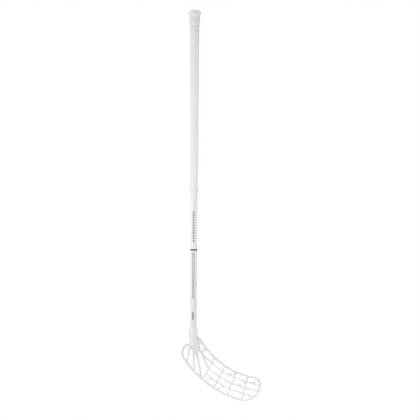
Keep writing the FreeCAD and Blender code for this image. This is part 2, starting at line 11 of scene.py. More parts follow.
import bpy
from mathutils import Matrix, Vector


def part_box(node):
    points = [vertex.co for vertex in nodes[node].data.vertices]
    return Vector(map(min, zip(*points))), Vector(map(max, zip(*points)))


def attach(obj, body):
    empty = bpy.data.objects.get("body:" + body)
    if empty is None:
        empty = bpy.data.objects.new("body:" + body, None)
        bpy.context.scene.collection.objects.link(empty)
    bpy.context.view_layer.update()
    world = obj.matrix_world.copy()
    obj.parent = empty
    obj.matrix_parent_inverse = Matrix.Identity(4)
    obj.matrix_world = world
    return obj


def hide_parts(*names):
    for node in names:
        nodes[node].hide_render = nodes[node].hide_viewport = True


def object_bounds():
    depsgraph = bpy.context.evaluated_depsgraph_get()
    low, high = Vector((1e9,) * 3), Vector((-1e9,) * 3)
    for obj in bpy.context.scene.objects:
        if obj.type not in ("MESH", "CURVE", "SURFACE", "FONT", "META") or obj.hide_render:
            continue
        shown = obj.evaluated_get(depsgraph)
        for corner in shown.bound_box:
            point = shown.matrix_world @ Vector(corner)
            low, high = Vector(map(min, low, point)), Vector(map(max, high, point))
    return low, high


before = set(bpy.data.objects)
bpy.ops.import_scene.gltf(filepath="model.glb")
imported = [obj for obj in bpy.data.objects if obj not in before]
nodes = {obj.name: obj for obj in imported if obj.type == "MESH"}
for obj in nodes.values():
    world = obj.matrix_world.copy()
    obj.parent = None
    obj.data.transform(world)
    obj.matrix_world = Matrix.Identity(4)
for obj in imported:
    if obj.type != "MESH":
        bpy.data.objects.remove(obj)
cad_low, cad_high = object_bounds()
print("nodes:", ", ".join(sorted(nodes)))
print("CAD box in metres:", [round(value, 4) for value in (*cad_low, *cad_high)])

# %% [markdown]
# ## The camera
#
# The photograph is a catalogue picture, taken square on from far away: no face of the cap or the blade
# shows from above. A long lens from a good distance gives the same flat drawing. The shaft leans by a
# quarter of a degree in the picture, so the camera is rolled by as much.

# %% Aim a long lens at the middle of the picture
PICTURE_WIDTH = 1.2096
VIEW_ACROSS = 0.0463
VIEW_HEIGHT = -0.3136
VIEW_DISTANCE = 9.0
VIEW_ROLL = math.radians(0.25)
SENSOR_WIDTH = 36.0

bpy.ops.object.select_all(action="DESELECT")
bpy.ops.object.camera_add(
    location=(VIEW_ACROSS, -VIEW_DISTANCE, VIEW_HEIGHT),
    rotation=(math.radians(90), -VIEW_ROLL, 0),
)
camera = bpy.context.object
camera.data.sensor_width = SENSOR_WIDTH
camera.data.lens = SENSOR_WIDTH * VIEW_DISTANCE / PICTURE_WIDTH
bpy.context.scene.camera = camera
bpy.context.scene.view_settings.view_transform = "Standard"
print("lens:", round(camera.data.lens, 1), "mm at", VIEW_DISTANCE, "m")

# %% [markdown]
# ## Finishes as expressions
#
# A finish is a small network of nodes. Wiring it by hand in the editor is slow to read back, so three
# small classes let us write it as maths. The first one, `Value`, wraps a socket. Adding, taking away,
# multiplying or dividing values then adds Math nodes.

# %% Let Python's operators add Math nodes
class Value:
    """A number, colour or vector that varies over a surface."""

    def __init__(self, network, socket):
        self.network = network
        self.socket = socket

    def __add__(self, other):
        return self.network.math("ADD", self, other)

    def __sub__(self, other):
        return self.network.math("SUBTRACT", self, other)

    def __mul__(self, other):
        return self.network.math("MULTIPLY", self, other)

    def __truediv__(self, other):
        return self.network.math("DIVIDE", self, other)

    def __radd__(self, other):
        return self.network.math("ADD", other, self)

    def __rsub__(self, other):
        return self.network.math("SUBTRACT", other, self)

    def __rmul__(self, other):
        return self.network.math("MULTIPLY", other, self)

    def __rtruediv__(self, other):
        return self.network.math("DIVIDE", other, self)


def between(share, limits):
    """Number between two limits, by a share that varies from 0 to 1."""
    low, high = limits
    return low + (high - low) * share


print("ready: values, and numbers between two limits")

# %% [markdown]
# `Network` makes any other node from its type, its settings and its inputs. What varies over a surface
# is linked, and what is the same all over is set on the socket itself, as one would type it in the
# editor.

# %% Make nodes from their type, settings and inputs
class Network:
    """Nodes of one material or of the world."""

    def __init__(self, tree):
        self.tree = tree

    def feed(self, socket, value):
        """Link a varying value to a socket, or set a plain one on it. A plain colour has three parts."""
        if isinstance(value, Value):
            self.tree.links.new(value.socket, socket)
        elif socket.type == "RGBA":
            socket.default_value = (*value, 1)
        else:
            socket.default_value = value

    def node(self, kind, settings=(), inputs=(), output=0):
        """Any node, from its type, its settings and what its sockets hold."""
        node = self.tree.nodes.new(kind)
        for key, value in dict(settings).items():
            setattr(node, key, value)
        for key, value in dict(inputs).items():
            self.feed(node.inputs[key], value)
        return Value(self, node.outputs[output])

    def math(self, operation, *values):
        """Math node on one or more numbers or values."""
        return self.node("ShaderNodeMath", {"operation": operation}, dict(enumerate(values)))

    def mix(self, factor, first, second):
        """Colour between two colours."""
        inputs = {"Factor": factor, 6: first, 7: second}
        return self.node("ShaderNodeMix", {"data_type": "RGBA"}, inputs, output=2)

    def seen_plainly(self):
        """1 where the camera sees a thing straight, in a mirror or through glass, and 0 for soft light."""
        seen = 0
        for ray in ["Is Camera Ray", "Is Glossy Ray", "Is Transmission Ray"]:
            seen = self.math("MAXIMUM", self.node("ShaderNodeLightPath", output=ray), seen)
        return seen


print("ready: networks of nodes")

# %% [markdown]
# `Finish` is the network of one material. Its patterns lie on Object coordinates, in metres, so they
# keep their real size and stay where they are on the stick, whatever mesh is under them. Its methods
# name what most finishes here need: a cloudy noise, a mask with soft edges, a grey between two shades,
# and a bump.

# %% Name what a finish needs
def grey(level):
    """Neutral colour, in linear light."""
    return (level, level, level)


class Finish(Network):
    """A material under construction."""

    def __init__(self, name):
        self.material = bpy.data.materials.new(name)
        self.material.use_nodes = True
        super().__init__(self.material.node_tree)
        self.shader = self.tree.nodes["Principled BSDF"]
        self.place = self.node("ShaderNodeTexCoord", output="Object")

    def axis(self, letter):
        """Place along one axis, in metres."""
        return self.node("ShaderNodeSeparateXYZ", inputs={"Vector": self.place}, output=letter)

    def noise(self, grain, detail=2.0, stretch=(1, 1, 1)):
        """Cloudy values around a half, in patches one grain wide. A stretch below 1 draws them out."""
        mapped = self.node("ShaderNodeMapping", inputs={"Vector": self.place, "Scale": stretch})
        inputs = {"Vector": mapped, "Scale": 1 / grain, "Detail": detail}
        return self.node("ShaderNodeTexNoise", inputs=inputs)

    def step(self, value, low, high):
        """Smooth step from 0 below low to 1 above high."""
        inputs = {"Value": value, "From Min": low, "From Max": high}
        return self.node("ShaderNodeMapRange", {"interpolation_type": "SMOOTHSTEP"}, inputs)

    def band(self, value, low, high, soft):
        """1 between low and high, 0 outside, with edges as wide as soft."""
        return self.step(value, low - soft, low) * (1 - self.step(value, high, high + soft))

    def shade(self, share, shades):
        """Grey between a darker and a lighter shade, by a share that varies from 0 to 1."""
        darker, lighter = shades
        return self.mix(share, grey(darker), grey(lighter))

    def bump(self, height, distance):
        """Normals of a surface whose height, from 0 to 1, spans a distance in metres."""
        inputs = {"Height": height, "Distance": distance, "Strength": 1.0}
        return self.node("ShaderNodeBump", inputs=inputs)

    def surface(self, **values):
        """Set or link the shader's sockets. An underscore stands for a space."""
        for name, value in values.items():
            self.feed(self.shader.inputs[name.replace("_", " ").title()], value)


print("ready: finishes on Object coordinates")

# %% [markdown]
# ## Turned pieces
#
# Shaft, cap, collar and ring are all round about one axis. Blender's Spin would turn a drawn profile,
# but it leaves a seam to merge. A circle that is extruded and scaled from station to station gives the
# same rings with no seam, and it is how one would do it by hand with E and S. Where a wall is closed,
# Bridge joins the two open ends.

# %% Turn a profile about the stick's axis
MM = 0.001
SIDES = 96


def turned(name, profile):
    """Piece in edit mode with a ring at each (radius, height) station of its section, in millimetres."""
    bpy.ops.object.select_all(action="DESELECT")
    radius, height = profile[0]
    bpy.ops.mesh.primitive_circle_add(vertices=SIDES, radius=radius * MM, location=(0, 0, height * MM))
    piece = bpy.context.object
    piece.name = name
    bpy.ops.object.transform_apply(location=True)
    bpy.ops.object.mode_set(mode="EDIT")
    bpy.ops.mesh.select_mode(type="EDGE")
    bpy.ops.mesh.select_all(action="SELECT")
    for next_radius, next_height in profile[1:]:
        growth = next_radius / radius
        climb = (0, 0, (next_height - height) * MM)
        bpy.ops.mesh.extrude_region_move(TRANSFORM_OT_translate={"value": climb})
        bpy.ops.transform.resize(value=(growth, growth, 1), center_override=(0, 0, next_height * MM))
        radius, height = next_radius, next_height
    return piece


def face_outwards():
    """Point every face out of the solid and leave edit mode."""
    bpy.ops.mesh.select_all(action="SELECT")
    bpy.ops.mesh.normals_make_consistent(inside=False)
    bpy.ops.object.mode_set(mode="OBJECT")


def close_ring():
    """Bridge the two open ends into one closed wall and leave edit mode."""
    bpy.ops.mesh.select_all(action="DESELECT")
    bpy.ops.mesh.select_non_manifold()
    bpy.ops.mesh.bridge_edge_loops()
    face_outwards()


def close_ends():
    """Fill the open ends with flat discs and leave edit mode."""
    bpy.ops.mesh.select_all(action="SELECT")
    bpy.ops.mesh.fill_holes(sides=0)
    face_outwards()


print("ready: turned pieces with", SIDES, "sides")

# %% [markdown]
# ## Picking by place
#
# By hand one clicks on an edge. A script picks it by where it is: it looks at the place of every edge
# and selects those that it wants. Selections are kept in the mesh, so they are made in object mode. A
# modifier is applied at once here, so that what is picked next is the finished shape.

# %% Pick edges and apply modifiers
def start_picking(kind):
    """Deselect all edges or faces of the active piece and leave edit mode, to select some in code."""
    bpy.ops.object.mode_set(mode="EDIT")
    bpy.ops.mesh.select_mode(type=kind)
    bpy.ops.mesh.select_all(action="DESELECT")
    bpy.ops.object.mode_set(mode="OBJECT")


def pick_edges(piece, wanted):
    """Go to edit mode with those edges selected whose two ends are both wanted."""
    start_picking("EDGE")
    points = piece.data.vertices
    for edge in piece.data.edges:
        edge.select = all(wanted(points[end].co) for end in edge.vertices)
    bpy.ops.object.mode_set(mode="EDIT")


def merge_doubles(reach):
    """Merge points of the active piece that lie within a reach of each other, in millimetres."""
    bpy.ops.object.mode_set(mode="EDIT")
    bpy.ops.mesh.select_all(action="SELECT")
    bpy.ops.mesh.remove_doubles(threshold=reach * MM)
    bpy.ops.object.mode_set(mode="OBJECT")


def apply_modifier(piece, kind, **settings):
    """Add a modifier with its settings to a piece and apply it."""
    modifier = piece.modifiers.new(kind.lower(), kind)
    for key, value in settings.items():
        setattr(modifier, key, value)
    bpy.context.view_layer.objects.active = piece
    bpy.ops.object.modifier_apply(modifier=modifier.name)


print("ready: picking, merging and modifiers")

# %% [markdown]
# ## Rounded edges
#
# Nothing moulded or cut has a perfectly sharp edge, and a thin highlight along an edge is what makes a
# render look real. The Bevel modifier rounds every sharp edge alike. Where one ring needs its own
# radius, its edges are picked by their place in edit mode and bevelled alone.

# %% Round all sharp edges, or one ring
SMOOTH_BELOW = math.radians(40)
RING_REACH = 0.05


def round_edges(piece, width, segments=3, least_turn=math.radians(25)):
    """Round edges that turn by at least an angle, by a width in millimetres, and shade them smooth."""
    apply_modifier(
        piece, "BEVEL", width=width * MM, segments=segments, limit_method="ANGLE", angle_limit=least_turn,
    )
    bpy.ops.object.shade_smooth_by_angle(angle=SMOOTH_BELOW)


def round_ring(piece, radius, height, width, segments=5):
    """Round the ring of edges at one radius and height, by a width, all in millimetres."""
    def on_ring(point):
        aside = math.hypot(point.x, point.y) / MM - radius
        return math.hypot(aside, point.z / MM - height) < RING_REACH

    pick_edges(piece, on_ring)
    bpy.ops.mesh.bevel(offset=width * MM, segments=segments, affect="EDGES")
    bpy.ops.object.mode_set(mode="OBJECT")


print("ready: rounding, and smooth shading below", round(math.degrees(SMOOTH_BELOW)), "degrees")

# %% [markdown]
# ## Sizes from the CAD
#
# A turned CAD node is a stack of rings of points. Reading their heights and radii gives each new piece
# the sizes of the node that it stands for, so nothing has to be fitted by eye.

# %% Read the rings of a turned node
FULL_RING = 12


def rings(node):
    """Rings of a turned node from the top: the height and the radii, smallest first, in millimetres."""
    counts = {}
    for vertex in nodes[node].data.vertices:
        height = round(vertex.co.z / MM, 2)
        radius = round(math.hypot(vertex.co.x, vertex.co.y) / MM, 2)
        counts.setdefault(height, {}).setdefault(radius, 0)
        counts[height][radius] += 1
    found = []
    for height in sorted(counts, reverse=True):
        radii = sorted(radius for radius, count in counts[height].items() if count > FULL_RING)
        if radii:
            found.append((height, radii))
    return found


def outermost(ring):
    """Station at the outside of a CAD ring."""
    return ring[1][-1], ring[0]


def innermost(ring):
    """Station at the inside of a CAD ring."""
    return ring[1][0], ring[0]


for name in ["shaft_tube", "grip_wrap", "grip_collar", "shaft_ring"]:
    print(name, rings(name))

# %% [markdown]
# ## Handing over
#
# A finished piece gets its material and rides on the stick's one body. It also hides the CAD node that it
# stands for.

# %% Hand a finished piece over
def coat(piece, finish):
    """Give a piece one material all over."""
    piece.data.materials.clear()
    piece.data.materials.append(finish.material)


def hand_over(piece, finish, node):
    """Give a finished piece its material and its body, and hide the node that it stands for."""
    coat(piece, finish)
    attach(piece, "root")
    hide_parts(node)
    triangles = sum(len(polygon.vertices) - 2 for polygon in piece.data.polygons)
    print(f"{piece.name}: {triangles} triangles, for {node}")


# %% [markdown]
# ## The shaft
#
# The shaft is a thin composite tube under white lacquer. Its CAD rings give the stations: the butt, the
# end of the grip, the mouth of the socket and the tip. We go down the outside, turn in at the tip and
# come up the bore.

# %% Turn the shaft
SHAFT_ROUNDING = 0.25

shaft_rings = rings("shaft_tube")
outside = [outermost(ring) for ring in shaft_rings]
inside = [innermost(ring) for ring in reversed(shaft_rings)]
shaft = turned("shaft", outside + inside)
close_ring()
round_edges(shaft, SHAFT_ROUNDING)
print("shaft from", shaft_rings[0][0], "to", shaft_rings[-1][0], "mm")

# %% [markdown]
# ## Printed marks
#
# The shaft's front carries plain graduation marks in grey: rungs, two rules with ticks between them, and
# a short bar. They could be drawn as a picture and wrapped round the tube. Masks of two lengths, the one
# along the shaft and the one around it, bend with the tube just as well, stay sharp at any distance and
# need no picture.

# %% Make masks for printed marks
PRINT_RADIUS = 10.0
PRINT_EDGE = 0.12

lacquer = Finish("white_lacquer")
along = lacquer.axis("Z") / MM
around = PRINT_RADIUS * lacquer.math("ARCTAN2", lacquer.axis("X"), 0 - lacquer.axis("Y"))


def print_bar(low, high, left, right):
    """Mask of a bar from its lowest to its highest and from its left to its right edge, in millimetres."""
    upright = lacquer.band(along, low, high, PRINT_EDGE)
    return upright * lacquer.band(around, left, right, PRINT_EDGE)


def print_row(start, count, pitch, length, left, right):
    """Mask of a row of stripes up from a height, each of a length, a pitch apart, all in millimetres."""
    phase = lacquer.math("FRACT", (along - start) / pitch)
    stripes = lacquer.band(phase, 0.0, length / pitch, PRINT_EDGE / pitch)
    half_gap = (pitch - length) / 2
    return stripes * print_bar(start - half_gap, start + count * pitch - half_gap, left, right)


print("ready: marks printed on a radius of", PRINT_RADIUS, "mm")

# %% [markdown]
# Heights are counted from the middle of the grip, and sideways from the line that faces the camera. A
# row ends in the gap after its last stripe, so that no stripe is cut, and the ticks fill the space
# between the two rules. Where a mask is 0 the lacquer stays bare.

# %% Place the marks
RUNGS = 12
RUNG_START = -405.0
RUNG_PITCH = 7.5
RUNG_LENGTH = 4.5
RUNG_LEFT = -3.5
RUNG_RIGHT = 2.0
TICKS = 19
TICK_START = -565.0
TICK_PITCH = 6.8
TICK_LENGTH = 2.4
RULE_LOW = -570.0
RULE_HIGH = -434.0
RULE_LEFT = -4.2
RULE_RIGHT = 2.0
RULE_WIDTH = 1.0
FOOT_LOW = -630.0
FOOT_HIGH = -607.0
FOOT_LEFT = -4.0
FOOT_RIGHT = 0.5

tick_left = RULE_LEFT + RULE_WIDTH
tick_right = RULE_RIGHT - RULE_WIDTH
rungs = print_row(RUNG_START, RUNGS, RUNG_PITCH, RUNG_LENGTH, RUNG_LEFT, RUNG_RIGHT)
ticks = print_row(TICK_START, TICKS, TICK_PITCH, TICK_LENGTH, tick_left, tick_right)
left_rule = print_bar(RULE_LOW, RULE_HIGH, RULE_LEFT, tick_left)
right_rule = print_bar(RULE_LOW, RULE_HIGH, tick_right, RULE_RIGHT)
foot_bar = print_bar(FOOT_LOW, FOOT_HIGH, FOOT_LEFT, FOOT_RIGHT)
marks = rungs + ticks + left_rule + right_rule + foot_bar
print("marks:", RUNGS, "rungs,", TICKS, "ticks, two rules and a bar")

# %% [markdown]
# ## White lacquer
#
# Sprayed lacquer is never perfectly flat: it dries with a faint orange peel that makes reflections
# waver, and its gloss varies a little. Both are noises, a fine one for the bump and a broad one for
# colour and gloss. Printed ink is thin and a little speckled, which a fine noise between two greys
# gives. It is duller than the lacquer.

# %% Lacquer the shaft
LACQUER_SHADES = (0.76, 0.80)
LACQUER_ROUGHNESS = (0.24, 0.36)
CLOUD_SIZE = 40 * MM
PEEL_SIZE = 2.5 * MM
PEEL_DEPTH = 0.08 * MM
INK_SHADES = (0.22, 0.30)
INK_ROUGHNESS = 0.15
SPECKLE_SIZE = 0.5 * MM

ink = lacquer.shade(lacquer.noise(SPECKLE_SIZE), INK_SHADES)
orange_peel = lacquer.noise(PEEL_SIZE, detail=1.0, stretch=(1, 1, 0.6))
clouds = lacquer.noise(CLOUD_SIZE, detail=3.0)
lacquer.surface(
    base_color=lacquer.mix(marks, lacquer.shade(clouds, LACQUER_SHADES), ink),
    roughness=between(clouds, LACQUER_ROUGHNESS) + INK_ROUGHNESS * marks,
    normal=lacquer.bump(orange_peel, PEEL_DEPTH),
)
hand_over(shaft, lacquer, "shaft_tube")

# %% [markdown]
# ## The wound grip
#
# The grip is a soft band wound round the shaft, each turn overlapping the one below by a hair, so that a
# faint spiral step runs up it. A smooth lathe turning would lose that step. The Screw modifier winds a
# drawn profile into a spiral, so we draw the profile of one turn first. It is one point, extruded twice:
# up by the width of the band, rising by a fifth of a millimetre, and then down the step at the band's
# edge.

# %% Draw one turn of the band
BAND_PITCH = 27.0
BAND_LIFT = 0.2
BAND_EDGE = 0.5

grip_rings = rings("grip_wrap")
grip_top_ring = grip_rings[0]
grip_end_ring = grip_rings[-1]
top_radius, grip_top = outermost(grip_top_ring)
end_radius, grip_end = outermost(grip_end_ring)
mean_radius = (top_radius + end_radius) / 2
wound_from = grip_end - BAND_PITCH

bpy.ops.object.select_all(action="DESELECT")
start = ((mean_radius - BAND_LIFT) * MM, 0, wound_from * MM)
bpy.ops.mesh.primitive_plane_add(size=MM, location=start)
grip = bpy.context.object
grip.name = "grip"
bpy.ops.object.transform_apply(location=True)
bpy.ops.object.mode_set(mode="EDIT")
bpy.ops.mesh.select_mode(type="VERT")
bpy.ops.mesh.select_all(action="SELECT")
bpy.ops.mesh.merge(type="CENTER")
for outward, upward in [(BAND_LIFT, BAND_PITCH - BAND_EDGE), (-BAND_LIFT, BAND_EDGE)]:
    stroke = (outward * MM, 0, upward * MM)
    bpy.ops.mesh.extrude_vertices_move(TRANSFORM_OT_translate={"value": stroke})
bpy.ops.object.mode_set(mode="OBJECT")
print("band:", len(grip.data.vertices), "points at a mean radius of", round(mean_radius, 2), "mm")

# %% [markdown]
# The winding starts a turn below the grip and runs past its top, to be trimmed afterwards. Where two
# turns meet, their points are merged. Simple Deform then tapers the winding like the shaft below it.

# %% Wind the band and taper it
MERGE_REACH = 0.01

turns = math.ceil((grip_top - wound_from) / BAND_PITCH) + 1
apply_modifier(
    grip, "SCREW", axis="Z", screw_offset=BAND_PITCH * MM, iterations=turns,
    steps=SIDES, render_steps=SIDES,
)
merge_doubles(MERGE_REACH)

heights = [vertex.co.z for vertex in grip.data.vertices]
slope = (top_radius - end_radius) / (grip_top - grip_end) / mean_radius
taper = slope / MM * (max(heights) - min(heights))
apply_modifier(grip, "SIMPLE_DEFORM", deform_method="TAPER", deform_axis="Z", factor=taper)
print("grip wound with", turns, "turns of", BAND_PITCH, "mm")

# %% [markdown]
# The winding is still an open tube. Bisect trims it square at the CAD heights. The cut edges are picked
# by their height, so that extruding and scaling them inwards makes the flat ends, and Bridge joins the
# two inner rings into the bore.

# %% Trim the ends and close the wall
CUT_REACH = 0.0001

for ring, outward in [(grip_top_ring, 1), (grip_end_ring, -1)]:
    cut_radius, cut_height = outermost(ring)
    bore_radius, cut_height = innermost(ring)
    cut_place = (0, 0, cut_height * MM)
    shrink = bore_radius / (cut_radius - BAND_LIFT)
    bpy.ops.object.mode_set(mode="EDIT")
    bpy.ops.mesh.select_mode(type="EDGE")
    bpy.ops.mesh.select_all(action="SELECT")
    bpy.ops.mesh.bisect(
        plane_co=cut_place, plane_no=(0, 0, outward), clear_outer=True, threshold=CUT_REACH * MM,
    )
    bpy.ops.object.mode_set(mode="OBJECT")
    pick_edges(grip, lambda point: abs(point.z / MM - cut_height) < RING_REACH)
    bpy.ops.mesh.extrude_region_move()
    bpy.ops.transform.resize(value=(shrink, shrink, 1), center_override=cut_place)
close_ring()
bpy.ops.object.shade_smooth_by_angle(angle=SMOOTH_BELOW)
grip_radii = [math.hypot(vertex.co.x, vertex.co.y) / MM for vertex in grip.data.vertices]
print("grip radii from", round(min(grip_radii), 2), "to", round(max(grip_radii), 2), "mm")

# %% [markdown]
# ## The band's soft skin
#
# The band is a foamed plastic with a dry, slightly tacky skin: matt, with pores finer than a millimetre,
# and touched by hands, which leaves broad clouds a little greyer. The pores only need to bend the light,
# so they are a bump and not geometry. A slightly darker grey along the spiral step is painted shade of
# the step. Its mask is the share of a turn that a point's height and its bearing round the shaft add up
# to: the step is where that share comes to a full turn.

# %% Give the grip its skin
SKIN_SHADES = (0.80, 0.86)
SKIN_ROUGHNESS = (0.55, 0.70)
PORE_SIZE = 0.8 * MM
PORE_DEPTH = 0.22 * MM
SOIL_SIZE = 30 * MM
SOIL_SHARE = 0.6
SEAM_WIDTH = 0.5
SEAM_SOFTNESS = 0.4
# Painted shade: a darker grey laid along the spiral step stands for the thin shade of the band's overlap.
SEAM_SHADE_GREY = 0.80

skin = Finish("grip_wrap_white")
pores = skin.noise(PORE_SIZE)
soil = skin.noise(SOIL_SIZE, detail=4.0)
bearing_share = skin.math("ARCTAN2", skin.axis("Y"), skin.axis("X")) / math.tau
turn_share = skin.math("FRACT", (skin.axis("Z") / MM - wound_from) / BAND_PITCH - bearing_share)
seam_from = 1 - (SEAM_WIDTH + SEAM_SOFTNESS) / BAND_PITCH
seam = skin.step(turn_share, seam_from, 1 - SEAM_WIDTH / BAND_PITCH)
clean = skin.shade(SOIL_SHARE * soil + (1 - SOIL_SHARE) * pores, SKIN_SHADES)
skin.surface(
    # The seam mask lays the darker grey of painted shade along the spiral step.
    base_color=skin.mix(seam, clean, grey(SEAM_SHADE_GREY)),
    roughness=between(pores, SKIN_ROUGHNESS),
    normal=skin.bump(pores, PORE_DEPTH),
)
hand_over(grip, skin, "grip_wrap")

# %% [markdown]
# ## The cap
#
# The cap is one rubber moulding: a mushroom-shaped knob that keeps the hand from sliding off, a skirt
# over the end of the grip and a plug inside the tube. Below the skirt a thin lip narrows down to the
# grip. Most of its sizes are in the CAD rings. The first ring is the edge of the flat top, the last
# three are the skirt's upper end, the plug's end and the skirt's lower end, and the knob has the largest
# radius of all. The seat on the tube's end is the highest ring that reaches further in than the flat top.

# %% Read the cap's sizes
KNOB_DOME = 3.8
LIP_LENGTH = 10.0
LIP_WALL = 0.25

cap_rings = rings("end_cap")
flat_radius, cap_top = outermost(cap_rings[0])
skirt_radius, skirt_top = outermost(cap_rings[-3])
plug_radius, plug_end = outermost(cap_rings[-2])
plug_bore, plug_end = innermost(cap_rings[-2])
skirt_bore, skirt_end = innermost(cap_rings[-1])
knob_radius = max(radii[-1] for height, radii in cap_rings)
knob_foot = min(height for height, radii in cap_rings if radii[-1] == knob_radius)
cap_seat = max(height for height, radii in cap_rings if radii[0] < flat_radius)
lip_radius = skirt_bore + LIP_WALL
lip_end = skirt_end - LIP_LENGTH
print("cap from", lip_end, "to", cap_top, "mm, knob radius", knob_radius, "mm")

# %% [markdown]
# The cap's section is one line from the flat top round to the plug's bore, so it is turned like the
# shaft, with the two open ends filled. Each outer ring is then rounded by its own radius, which stands
# beside its station. The round inset on top is where the mould was filled.

# %% Turn the cap
GATE_RADIUS = 4.0
GATE_DEPTH = 0.4

# Radius, height and rounding of each station
cap_stations = [
    (GATE_RADIUS, cap_top - GATE_DEPTH, 0),
    (GATE_RADIUS, cap_top, 0.2),
    (flat_radius, cap_top, 3.0),
    (knob_radius, cap_top - KNOB_DOME, 2.4),
    (knob_radius, knob_foot, 1.2),
    (skirt_radius, skirt_top, 2.0),
    (skirt_radius, skirt_end, 3.0),
    (lip_radius, lip_end, 0.2),
    (skirt_bore, lip_end, 0),
    (skirt_bore, cap_seat, 0),
    (plug_radius, cap_seat, 0),
    (plug_radius, plug_end, 0),
    (plug_bore, plug_end, 0),
    (plug_bore, cap_seat, 0),
]

cap = turned("cap", [(radius, height) for radius, height, rounding in cap_stations])
close_ends()
for radius, height, rounding in cap_stations:
    if rounding:
        round_ring(cap, radius, height, rounding)
bpy.ops.object.shade_smooth_by_angle(angle=SMOOTH_BELOW)
print("cap turned through", len(cap_stations), "stations")

# %% [markdown]
# ## Rubber
#
# The cap and the collar are moulded in soft white rubber. The mould is spark-eroded, which leaves a fine
# grain, and rubber picks up dust in the hollows of that grain. One noise gives both, a bump and a
# slightly darker colour, so that they fall on the same spots. A broader one lets the dust vary.

# %% Mix the rubber
RUBBER_ROUGHNESS = (0.60, 0.75)
GRAIN_SIZE = 0.6 * MM
GRAIN_DEPTH = 0.18 * MM
DUST_SIZE = 12 * MM
DUST_SHARE = 0.5
CAP_SHADES = (0.73, 0.81)


def white_rubber(name, shades):
    """Matt moulded rubber between two greys, the darker one in the hollows of its grain."""
    rubber = Finish(name)
    grain = rubber.noise(GRAIN_SIZE)
    dust = rubber.noise(DUST_SIZE, detail=4.0)
    rubber.surface(
        base_color=rubber.shade((1 - DUST_SHARE) * grain + DUST_SHARE * dust, shades),
        roughness=between(dust, RUBBER_ROUGHNESS),
        normal=rubber.bump(grain, GRAIN_DEPTH),
    )
    return rubber


hand_over(cap, white_rubber("cap_rubber_white", CAP_SHADES), "end_cap")

# %% [markdown]
# ## The collar
#
# The collar is a stretched rubber ring that holds the lower end of the grip down. It steps inwards below
# the grip to sit on the shaft. Its whole section comes from the CAD rings, so it is turned like the
# shaft.

# %% Turn the collar
COLLAR_ROUNDING = 0.18
COLLAR_SHADES = (0.78, 0.84)

collar_top, collar_shoulder, collar_seat, collar_hip, collar_foot = rings("grip_collar")
collar = turned("collar", [
    outermost(collar_top), outermost(collar_shoulder), outermost(collar_hip), outermost(collar_foot),
    innermost(collar_foot), innermost(collar_seat), outermost(collar_seat), innermost(collar_top),
])
close_ring()
round_edges(collar, COLLAR_ROUNDING)
hand_over(collar, white_rubber("collar_rubber_white", COLLAR_SHADES), "grip_collar")

# %% [markdown]
# ## The dark ring
#
# The ring further down is one turn of thin dark film, stretched round the shaft, which leaves streaks
# along its turn. A noise that is squeezed upright gives them. Only its edges are rounded, by less than
# the film is thick.

# %% Turn the ring and give it a film finish
FILM_ROUNDING = 0.06
FILM_SHADES = (0.030, 0.045)
FILM_ROUGHNESS = (0.3, 0.5)
STREAK_SIZE = 0.8 * MM
STREAK_DEPTH = 0.01 * MM

film_rings = rings("shaft_ring")
film_top = film_rings[0]
film_end = film_rings[-1]
film_section = [outermost(film_top), outermost(film_end), innermost(film_end), innermost(film_top)]
ring = turned("ring", film_section)
close_ring()
round_edges(ring, FILM_ROUNDING)

film = Finish("dark_film")
streaks = film.noise(STREAK_SIZE, detail=3.0, stretch=(1, 1, 6))
film.surface(
    base_color=film.shade(streaks, FILM_SHADES),
    roughness=between(streaks, FILM_ROUGHNESS),
    normal=film.bump(streaks, STREAK_DEPTH),
)
hand_over(ring, film, "shaft_ring")

# %% [markdown]
# ## The blade
#
# The blade is one injection moulding: a socket, a thick root, a rim and a lattice of ribs. The CAD solid
# has the whole lattice, but with bevelled corners and sharp edges. A moulding has soft edges and small
# fillets in every corner. A Bevel modifier trips where so many ribs meet, so a copy of the mesh is voxel
# remeshed, which makes one even skin, and smoothed a little, which melts edges and corners alike. The
# skin has far more faces than it needs, so Decimate thins it.

# %% Copy the blade and melt its edges
CORNER_REACH = 0.002
VOXEL = 0.55
MELT_SHARE = 0.5
MELT_ROUNDS = 6
BLADE_TRIANGLES = 190000

bpy.ops.object.select_all(action="DESELECT")
nodes["blade"].select_set(True)
bpy.context.view_layer.objects.active = nodes["blade"]
bpy.ops.object.duplicate()
blade = bpy.context.object
blade.name = "blade_moulding"
merge_doubles(CORNER_REACH)
apply_modifier(blade, "REMESH", mode="VOXEL", voxel_size=VOXEL * MM)
apply_modifier(blade, "SMOOTH", factor=MELT_SHARE, iterations=MELT_ROUNDS)
skin_faces = len(blade.data.polygons)
apply_modifier(blade, "DECIMATE", ratio=BLADE_TRIANGLES / (2 * skin_faces))
bpy.ops.object.shade_smooth()
print("blade skin:", skin_faces, "faces before thinning")

# %% [markdown]
# ## White plastic
#
# The blade is polyethylene: white all through, waxy and half glossy. As it fills the mould it leaves
# faint flow clouds, and the mould's own fine grain breaks up the gloss. A picture of real plastic would
# have to be unwrapped on to hundreds of faces, so two noises do the work: a broad one in the colour, and
# a fine one in the bump and the gloss.

# %% Give the blade its plastic
PLASTIC_SHADES = (0.81, 0.88)
PLASTIC_ROUGHNESS = (0.35, 0.50)
FLOW_SIZE = 15 * MM
FLOW_SHARE = 0.7
FROST_SIZE = 0.7 * MM
FROST_DEPTH = 0.10 * MM

plastic = Finish("blade_plastic_white")
flow = plastic.noise(FLOW_SIZE, detail=3.0)
frost = plastic.noise(FROST_SIZE)
plastic.surface(
    base_color=plastic.shade(FLOW_SHARE * flow + (1 - FLOW_SHARE) * frost, PLASTIC_SHADES),
    roughness=between(frost, PLASTIC_ROUGHNESS),
    normal=plastic.bump(frost, FROST_DEPTH),
)
hand_over(blade, plastic, "blade")

# %% [markdown]
# ## The screws
#
# Two short self-tapping screws hold the blade if the glue lets go. Each has a flat round head with a
# cross recess, flush with its pad, and a blunt threaded shank. One is modelled, lying along X, and
# copied afterwards. Its head is a cylinder that takes its place from the box of the CAD node.

